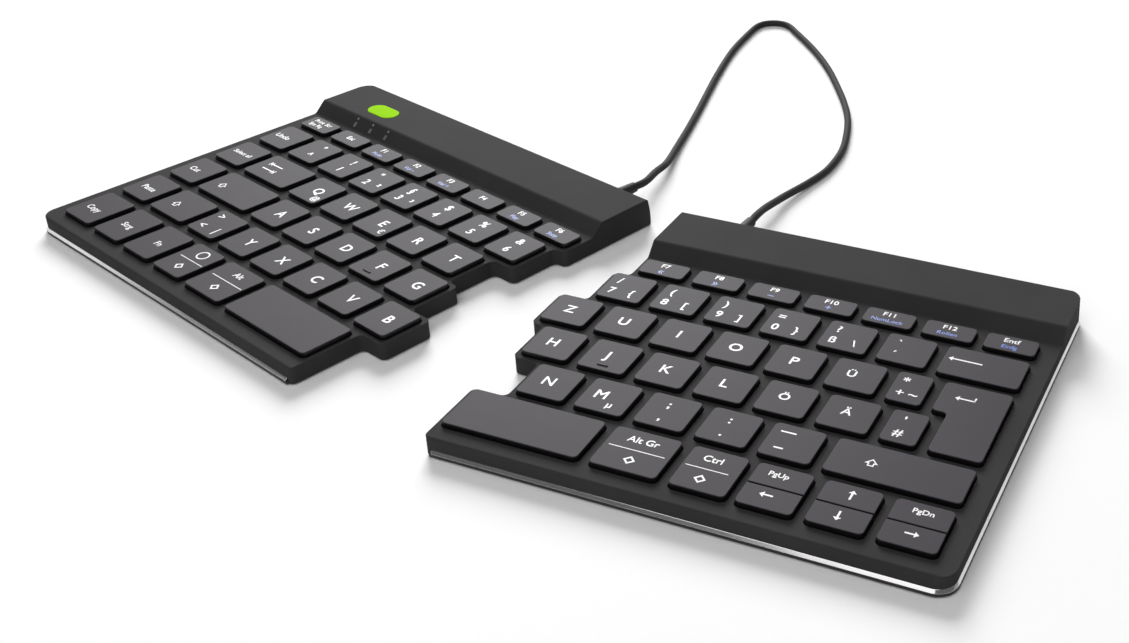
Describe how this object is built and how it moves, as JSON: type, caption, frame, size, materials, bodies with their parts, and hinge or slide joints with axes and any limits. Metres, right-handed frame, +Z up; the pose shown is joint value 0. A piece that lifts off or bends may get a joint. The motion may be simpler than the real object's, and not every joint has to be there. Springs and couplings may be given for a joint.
{
  "type": "ergonomic split keyboard",
  "caption": "Low two-part keyboard with flat island keys on stepped cases, raised rear housings, bright trim and a cord joining the halves.",
  "frame": {"origin": "middle of the outline of both halves, on the surface they stand on", "axes": "+X along the key rows from the left half to the right half, +Y to the back, where the cord leaves, +Z up"},
  "size_m": [0.358, 0.3411, 0.011],
  "materials": {
    "case": "fine-grained charcoal moulding",
    "keycap": "satin dark grey",
    "base": "dark grey moulding",
    "trim": "polished chamfer",
    "steel": "plain",
    "film": "clear film",
    "dome_rubber": "soft",
    "link_plastic": "natural",
    "board": "green lacquer",
    "battery_can": "foil",
    "socket_metal": "plated",
    "lens": "translucent green",
    "light_pipe": "smoked clear",
    "soft_black": "matte",
    "cord": "matte jacket",
    "switch_plastic": "matte"
  },
  "bodies": {
    "keyboard_base": {"top_case_left": "case", "top_case_right": "case", "base_plate_left": "base", "base_plate_right": "base", "base_trim_left": "trim", "base_trim_right": "trim", "support_plates": "steel", "membranes": "film", "dome_sheets": "dome_rubber", "scissor_links": "link_plastic", "circuit_board_left": "board", "circuit_board_right": "board", "battery": "battery_can", "charging_socket": "socket_metal", "indicator_lens": "lens", "status_light_pipes": "light_pipe", "strain_reliefs": "soft_black", "link_cord": "cord", "screws": "steel", "feet": "soft_black"},
    "power_switch": {"power_switch": "switch_plastic"},
    "key_q": {"key_q": "keycap"},
    "key_w": {"key_w": "keycap"},
    "key_e": {"key_e": "keycap"},
    "key_r": {"key_r": "keycap"},
    "key_t": {"key_t": "keycap"},
    "key_a": {"key_a": "keycap"},
    "key_s": {"key_s": "keycap"},
    "key_d": {"key_d": "keycap"},
    "key_f": {"key_f": "keycap"},
    "key_g": {"key_g": "keycap"},
    "key_y": {"key_y": "keycap"},
    "key_x": {"key_x": "keycap"},
    "key_c": {"key_c": "keycap"},
    "key_v": {"key_v": "keycap"},
    "key_b": {"key_b": "keycap"},
    "key_space_left": {"key_space_left": "keycap"},
    "key_z": {"key_z": "keycap"},
    "key_u": {"key_u": "keycap"},
    "key_i": {"key_i": "keycap"},
    "key_o": {"key_o": "keycap"},
    "key_p": {"key_p": "keycap"},
    "key_h": {"key_h": "keycap"},
    "key_j": {"key_j": "keycap"},
    "key_k": {"key_k": "keycap"},
    "key_l": {"key_l": "keycap"},
    "key_n": {"key_n": "keycap"},
    "key_m": {"key_m": "keycap"},
    "key_space_right": {"key_space_right": "keycap"},
    "key_backspace": {"key_backspace": "keycap"},
    "macro_keys": {"macro_keys": "keycap"},
    "modifier_keys_left": {"modifier_keys_left": "keycap"},
    "number_keys_left": {"number_keys_left": "keycap"},
    "function_keys_left": {"function_keys_left": "keycap"},
    "modifier_keys_right": {"modifier_keys_right": "keycap"},
    "number_keys_right": {"number_keys_right": "keycap"},
    "function_keys_right": {"function_keys_right": "keycap"},
    "punctuation_keys": {"punctuation_keys": "keycap"},
    "arrow_keys": {"arrow_keys": "keycap"},
    "key_enter": {"key_enter": "keycap"}
  },
  "joints": [
    {"name": "key_q_press", "type": "slide", "parent": "keyboard_base", "child": "key_q", "axis": [0, 0, -1], "range_m": [0, 0.0014], "stiffness_N_per_m": 400, "deforming": ["dome_sheets", "scissor_links"]},
    {"name": "key_w_press", "type": "slide", "parent": "keyboard_base", "child": "key_w", "axis": [0, 0, -1], "range_m": [0, 0.0014], "stiffness_N_per_m": 400},
    {"name": "key_e_press", "type": "slide", "parent": "keyboard_base", "child": "key_e", "axis": [0, 0, -1], "range_m": [0, 0.0014], "stiffness_N_per_m": 400},
    {"name": "key_r_press", "type": "slide", "parent": "keyboard_base", "child": "key_r", "axis": [0, 0, -1], "range_m": [0, 0.0014], "stiffness_N_per_m": 400},
    {"name": "key_t_press", "type": "slide", "parent": "keyboard_base", "child": "key_t", "axis": [0, 0, -1], "range_m": [0, 0.0014], "stiffness_N_per_m": 400},
    {"name": "key_a_press", "type": "slide", "parent": "keyboard_base", "child": "key_a", "axis": [0, 0, -1], "range_m": [0, 0.0014], "stiffness_N_per_m": 400},
    {"name": "key_s_press", "type": "slide", "parent": "keyboard_base", "child": "key_s", "axis": [0, 0, -1], "range_m": [0, 0.0014], "stiffness_N_per_m": 400},
    {"name": "key_d_press", "type": "slide", "parent": "keyboard_base", "child": "key_d", "axis": [0, 0, -1], "range_m": [0, 0.0014], "stiffness_N_per_m": 400},
    {"name": "key_f_press", "type": "slide", "parent": "keyboard_base", "child": "key_f", "axis": [0, 0, -1], "range_m": [0, 0.0014], "stiffness_N_per_m": 400},
    {"name": "key_g_press", "type": "slide", "parent": "keyboard_base", "child": "key_g", "axis": [0, 0, -1], "range_m": [0, 0.0014], "stiffness_N_per_m": 400},
    {"name": "key_y_press", "type": "slide", "parent": "keyboard_base", "child": "key_y", "axis": [0, 0, -1], "range_m": [0, 0.0014], "stiffness_N_per_m": 400},
    {"name": "key_x_press", "type": "slide", "parent": "keyboard_base", "child": "key_x", "axis": [0, 0, -1], "range_m": [0, 0.0014], "stiffness_N_per_m": 400},
    {"name": "key_c_press", "type": "slide", "parent": "keyboard_base", "child": "key_c", "axis": [0, 0, -1], "range_m": [0, 0.0014], "stiffness_N_per_m": 400},
    {"name": "key_v_press", "type": "slide", "parent": "keyboard_base", "child": "key_v", "axis": [0, 0, -1], "range_m": [0, 0.0014], "stiffness_N_per_m": 400},
    {"name": "key_b_press", "type": "slide", "parent": "keyboard_base", "child": "key_b", "axis": [0, 0, -1], "range_m": [0, 0.0014], "stiffness_N_per_m": 400},
    {"name": "key_space_left_press", "type": "slide", "parent": "keyboard_base", "child": "key_space_left", "axis": [0, 0, -1], "range_m": [0, 0.0014], "stiffness_N_per_m": 400},
    {"name": "key_z_press", "type": "slide", "parent": "keyboard_base", "child": "key_z", "axis": [0, 0, -1], "range_m": [0, 0.0014], "stiffness_N_per_m": 400},
    {"name": "key_u_press", "type": "slide", "parent": "keyboard_base", "child": "key_u", "axis": [0, 0, -1], "range_m": [0, 0.0014], "stiffness_N_per_m": 400},
    {"name": "key_i_press", "type": "slide", "parent": "keyboard_base", "child": "key_i", "axis": [0, 0, -1], "range_m": [0, 0.0014], "stiffness_N_per_m": 400},
    {"name": "key_o_press", "type": "slide", "parent": "keyboard_base", "child": "key_o", "axis": [0, 0, -1], "range_m": [0, 0.0014], "stiffness_N_per_m": 400},
    {"name": "key_p_press", "type": "slide", "parent": "keyboard_base", "child": "key_p", "axis": [0, 0, -1], "range_m": [0, 0.0014], "stiffness_N_per_m": 400},
    {"name": "key_h_press", "type": "slide", "parent": "keyboard_base", "child": "key_h", "axis": [0, 0, -1], "range_m": [0, 0.0014], "stiffness_N_per_m": 400},
    {"name": "key_j_press", "type": "slide", "parent": "keyboard_base", "child": "key_j", "axis": [0, 0, -1], "range_m": [0, 0.0014], "stiffness_N_per_m": 400},
    {"name": "key_k_press", "type": "slide", "parent": "keyboard_base", "child": "key_k", "axis": [0, 0, -1], "range_m": [0, 0.0014], "stiffness_N_per_m": 400},
    {"name": "key_l_press", "type": "slide", "parent": "keyboard_base", "child": "key_l", "axis": [0, 0, -1], "range_m": [0, 0.0014], "stiffness_N_per_m": 400},
    {"name": "key_n_press", "type": "slide", "parent": "keyboard_base", "child": "key_n", "axis": [0, 0, -1], "range_m": [0, 0.0014], "stiffness_N_per_m": 400},
    {"name": "key_m_press", "type": "slide", "parent": "keyboard_base", "child": "key_m", "axis": [0, 0, -1], "range_m": [0, 0.0014], "stiffness_N_per_m": 400},
    {"name": "key_space_right_press", "type": "slide", "parent": "keyboard_base", "child": "key_space_right", "axis": [0, 0, -1], "range_m": [0, 0.0014], "stiffness_N_per_m": 400},
    {"name": "key_backspace_press", "type": "slide", "parent": "keyboard_base", "child": "key_backspace", "axis": [0, 0, -1], "range_m": [0, 0.0014], "stiffness_N_per_m": 400},
    {"name": "macro_keys_press", "type": "slide", "parent": "keyboard_base", "child": "macro_keys", "axis": [0, 0, -1], "range_m": [0, 0.0014], "stiffness_N_per_m": 400},
    {"name": "modifier_keys_left_press", "type": "slide", "parent": "keyboard_base", "child": "modifier_keys_left", "axis": [0, 0, -1], "range_m": [0, 0.0014], "stiffness_N_per_m": 400},
    {"name": "number_keys_left_press", "type": "slide", "parent": "keyboard_base", "child": "number_keys_left", "axis": [0, 0, -1], "range_m": [0, 0.0014], "stiffness_N_per_m": 400},
    {"name": "function_keys_left_press", "type": "slide", "parent": "keyboard_base", "child": "function_keys_left", "axis": [0, 0, -1], "range_m": [0, 0.0014], "stiffness_N_per_m": 400},
    {"name": "modifier_keys_right_press", "type": "slide", "parent": "keyboard_base", "child": "modifier_keys_right", "axis": [0, 0, -1], "range_m": [0, 0.0014], "stiffness_N_per_m": 400},
    {"name": "number_keys_right_press", "type": "slide", "parent": "keyboard_base", "child": "number_keys_right", "axis": [0, 0, -1], "range_m": [0, 0.0014], "stiffness_N_per_m": 400},
    {"name": "function_keys_right_press", "type": "slide", "parent": "keyboard_base", "child": "function_keys_right", "axis": [0, 0, -1], "range_m": [0, 0.0014], "stiffness_N_per_m": 400},
    {"name": "punctuation_keys_press", "type": "slide", "parent": "keyboard_base", "child": "punctuation_keys", "axis": [0, 0, -1], "range_m": [0, 0.0014], "stiffness_N_per_m": 400},
    {"name": "arrow_keys_press", "type": "slide", "parent": "keyboard_base", "child": "arrow_keys", "axis": [0, 0, -1], "range_m": [0, 0.0014], "stiffness_N_per_m": 400},
    {"name": "key_enter_press", "type": "slide", "parent": "keyboard_base", "child": "key_enter", "axis": [0, 0, -1], "range_m": [0, 0.0014], "stiffness_N_per_m": 400},
    {"name": "power_switch_slide", "type": "slide", "parent": "keyboard_base", "child": "power_switch", "axis": [-0.9881, -0.1538, 0], "range_m": [0, 0.003]}
  ]
}
